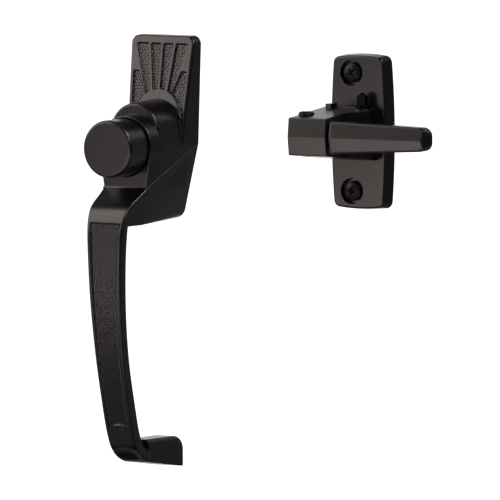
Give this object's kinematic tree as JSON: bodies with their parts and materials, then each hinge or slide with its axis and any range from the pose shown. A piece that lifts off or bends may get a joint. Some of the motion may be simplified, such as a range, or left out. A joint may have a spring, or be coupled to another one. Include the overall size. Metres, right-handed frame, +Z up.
{
  "type": "door handle set",
  "caption": "Push-button door handle set in black: outside pull handle with a ray-pattern plate and push button, and inside latch with a lever and lock knob",
  "frame": {"origin": "on the outside handle's spindle axis, in the plane of the door face, midway between its two screw holes", "axes": "+X to the right seen from the front, +Y along the spindle into the door, +Z up along the grip"},
  "size_m": [0.1482, 0.0629, 0.1628],
  "materials": {
    "black_paint": "satin",
    "dark_steel": "satin",
    "plated_steel": "satin",
    "spring_steel": "satin"
  },
  "bodies": {
    "frame": {"handle_casting": "black_paint", "latch_base": "black_paint", "mounting_screws": "dark_steel", "pivot_pin": "dark_steel", "button_spring": "spring_steel", "lever_spring": "spring_steel"},
    "button": {"push_button": "black_paint", "plunger_rod": "plated_steel", "plunger_clip": "plated_steel"},
    "lever": {"latch_lever": "black_paint"},
    "lock": {"lock_knob": "dark_steel", "lock_clip": "plated_steel", "lock_washer": "plated_steel"}
  },
  "joints": [
    {"name": "button_push", "type": "slide", "parent": "frame", "child": "button", "axis": [0, 1, 0], "range_m": [0, 0.006], "stiffness_N_per_m": 600, "springref_m": -0.008, "deforming": ["button_spring"]},
    {"name": "lever_swing", "type": "hinge", "parent": "frame", "child": "lever", "pos_m": [0.0756, -0.0231, 0.0064], "axis": [0, 0, -1], "range_deg": [0, 18], "stiffness_Nm_per_rad": 0.15, "springref_deg": -28.65, "deforming": ["lever_spring"]},
    {"name": "lock_turn", "type": "hinge", "parent": "frame", "child": "lock", "pos_m": [0.0918, -0.0095, 0.016], "axis": [0, 0, -1], "range_deg": [0, 90]}
  ]
}
